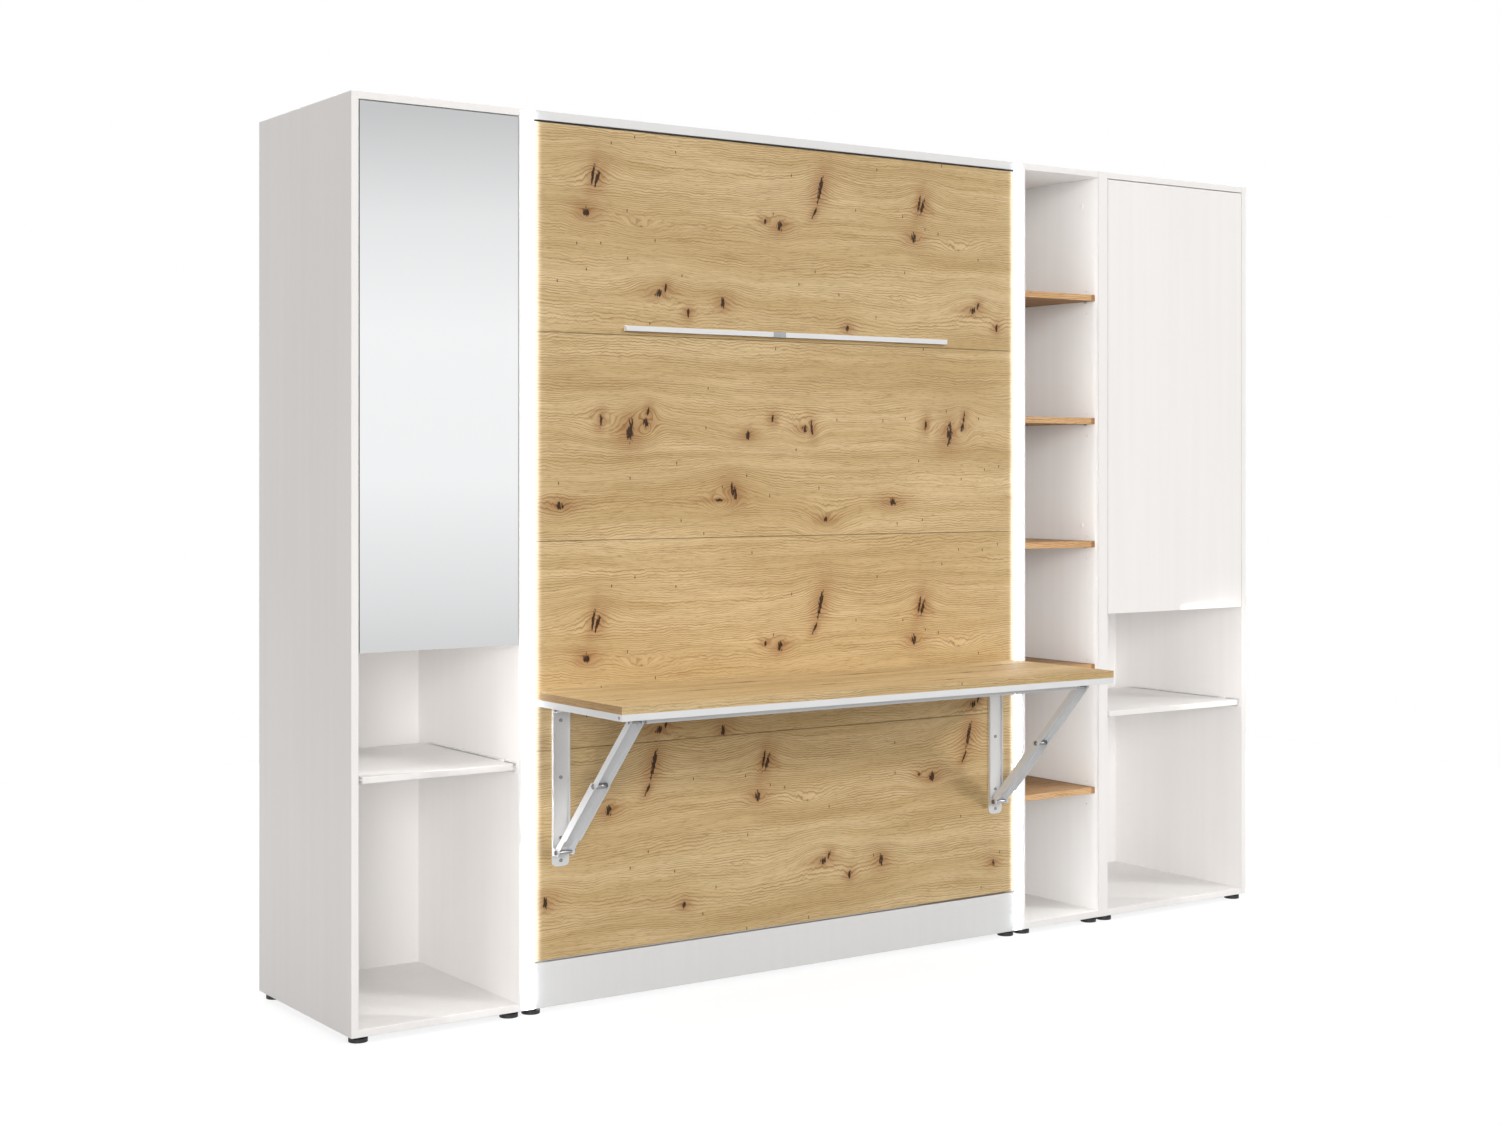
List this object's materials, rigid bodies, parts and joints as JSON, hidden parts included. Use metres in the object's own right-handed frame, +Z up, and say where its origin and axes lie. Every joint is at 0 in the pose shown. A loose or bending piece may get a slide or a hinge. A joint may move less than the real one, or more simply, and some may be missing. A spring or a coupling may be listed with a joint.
{
  "type": "wall bed with fold down desk",
  "caption": "Wall unit with an upright fold-down bed, a fold-down desk on its oak front, lit front edges, a mirror wardrobe, open shelving and a cupboard.",
  "frame": {"origin": "on the floor, in the middle of the unit's width and depth, the open desk included", "axes": "+X along the unit to the right as seen from its front, +Z up, the front faces -Y"},
  "size_m": [2.95, 0.948, 2.175],
  "materials": {
    "white_board": "white melamine-faced particle board",
    "back_panel": "white lacquered fibreboard",
    "oak_front": "knotty light oak decor, matt",
    "oak_shelf": "warm oak decor, matt",
    "birch_slat": "bent birch plywood",
    "mirror_glass": "silvered mirror",
    "white_steel": "white powder coat",
    "grey_steel": "grey powder coat",
    "zinc_steel": "zinc plated",
    "rod_chrome": "polished rod",
    "black_steel": "black paint",
    "led_aluminium": "anodised",
    "led_opal": "opal diffuser, lit",
    "grey_plastic": "matt grey",
    "black_plastic": "matt black",
    "black_rubber": "matt",
    "mattress_fabric": "quilted knit",
    "strap_webbing": "woven elastic webbing"
  },
  "bodies": {
    "carcass": {"wardrobe_left_side": "white_board", "wardrobe_right_side": "white_board", "wardrobe_top": "white_board", "wardrobe_bottom": "white_board", "wardrobe_mid_shelf": "white_board", "wardrobe_back": "back_panel", "hanging_rail": "zinc_steel", "bed_left_side": "white_board", "bed_right_side": "white_board", "bed_top_board": "white_board", "bed_plinth": "white_board", "bed_rear_rails": "white_board", "bed_pivot_plates": "zinc_steel", "led_profiles": "led_aluminium", "led_diffusers": "led_opal", "shelving_left_side": "white_board", "shelving_right_side": "white_board", "shelving_top": "white_board", "shelving_bottom": "white_board", "shelving_back": "back_panel", "oak_shelves": "oak_shelf", "shelf_pins": "zinc_steel", "cupboard_left_side": "white_board", "cupboard_right_side": "white_board", "cupboard_top": "white_board", "cupboard_bottom": "white_board", "cupboard_mid_shelf": "white_board", "cupboard_inner_shelves": "white_board", "cupboard_back": "back_panel", "door_hinge_arms": "zinc_steel", "runner_rails": "white_steel", "levelling_feet": "black_plastic", "connector_bolts": "zinc_steel"},
    "wardrobe_door": {"wardrobe_door": "white_board", "wardrobe_mirror": "mirror_glass", "wardrobe_hinge_cups": "zinc_steel"},
    "cupboard_door": {"cupboard_door": "white_board", "cupboard_hinge_cups": "zinc_steel"},
    "wardrobe_pullout": {"wardrobe_pullout_shelf": "white_board", "wardrobe_runner_slides": "white_steel"},
    "cupboard_pullout": {"cupboard_pullout_shelf": "white_board", "cupboard_runner_slides": "white_steel"},
    "bed": {"front_boards": "oak_front", "bed_frame": "grey_steel", "bed_slats": "birch_slat", "mattress": "mattress_fabric", "mattress_straps": "strap_webbing", "handle_profile": "white_steel", "handle_clip": "grey_plastic", "desk_wall_strips": "white_steel", "bracket_pins": "zinc_steel"},
    "foot_leg": {"foot_leg": "grey_steel", "leg_sleeves": "black_rubber"},
    "gas_cylinders": {"gas_cylinders": "black_steel"},
    "gas_rods": {"gas_rods": "rod_chrome"},
    "desk": {"desk_top": "oak_front", "desk_frame": "white_steel", "desk_pins": "zinc_steel"},
    "lower_struts": {"desk_lower_struts": "white_steel"},
    "upper_struts": {"desk_upper_struts": "white_steel"}
  },
  "joints": [
    {"name": "wardrobe_door_hinge", "type": "hinge", "parent": "carcass", "child": "wardrobe_door", "pos_m": [-1.4545, -0.076, 0.892], "axis": [0, 0, -1], "range_deg": [0, 105]},
    {"name": "cupboard_door_hinge", "type": "hinge", "parent": "carcass", "child": "cupboard_door", "pos_m": [1.4545, -0.076, 0.892], "axis": [0, 0, 1], "range_deg": [0, 105]},
    {"name": "wardrobe_shelf_slide", "type": "slide", "parent": "carcass", "child": "wardrobe_pullout", "axis": [0, -1, 0], "range_m": [0, 0.35]},
    {"name": "cupboard_shelf_slide", "type": "slide", "parent": "carcass", "child": "cupboard_pullout", "axis": [0, -1, 0], "range_m": [0, 0.35]},
    {"name": "bed_fold", "type": "hinge", "parent": "carcass", "child": "bed", "pos_m": [-0.235, -0.046, 0.27], "axis": [1, 0, 0], "range_deg": [0, 90]},
    {"name": "foot_leg_swing", "type": "hinge", "parent": "bed", "child": "foot_leg", "pos_m": [-0.235, -0.031, 2.04], "axis": [1, 0, 0], "range_deg": [0, 180]},
    {"name": "gas_spring_swing", "type": "hinge", "parent": "carcass", "child": "gas_cylinders", "pos_m": [-0.235, 0.279, 0.833], "axis": [1, 0, 0], "range_deg": [0, 2.11]},
    {"name": "gas_spring_stroke", "type": "slide", "parent": "gas_cylinders", "child": "gas_rods", "axis": [0, -0.3942, -0.919], "range_m": [-0.174, 0]},
    {"name": "desk_fold", "type": "hinge", "parent": "bed", "child": "desk", "pos_m": [-0.235, -0.098, 0.734], "axis": [1, 0, 0], "range_deg": [0, 90]},
    {"name": "lower_strut_fold", "type": "hinge", "parent": "bed", "child": "lower_struts", "pos_m": [-0.235, -0.098, 0.389], "axis": [-1, 0, 0], "range_deg": [0, 43.29]},
    {"name": "upper_strut_fold", "type": "hinge", "parent": "desk", "child": "upper_struts", "pos_m": [-0.235, -0.423, 0.734], "axis": [1, 0, 0], "range_deg": [0, 46.71]}
  ],
  "couplings": [
    {"joint": "foot_leg_swing", "follows": "bed_fold", "ratio": 2},
    {"joint": "gas_spring_swing", "follows": "bed_fold", "ratio": 0.023434},
    {"joint": "gas_spring_stroke", "follows": "bed_fold", "m_per_rad": -0.11077},
    {"joint": "lower_strut_fold", "follows": "desk_fold", "ratio": 0.481},
    {"joint": "upper_strut_fold", "follows": "desk_fold", "ratio": 0.51899}
  ]
}
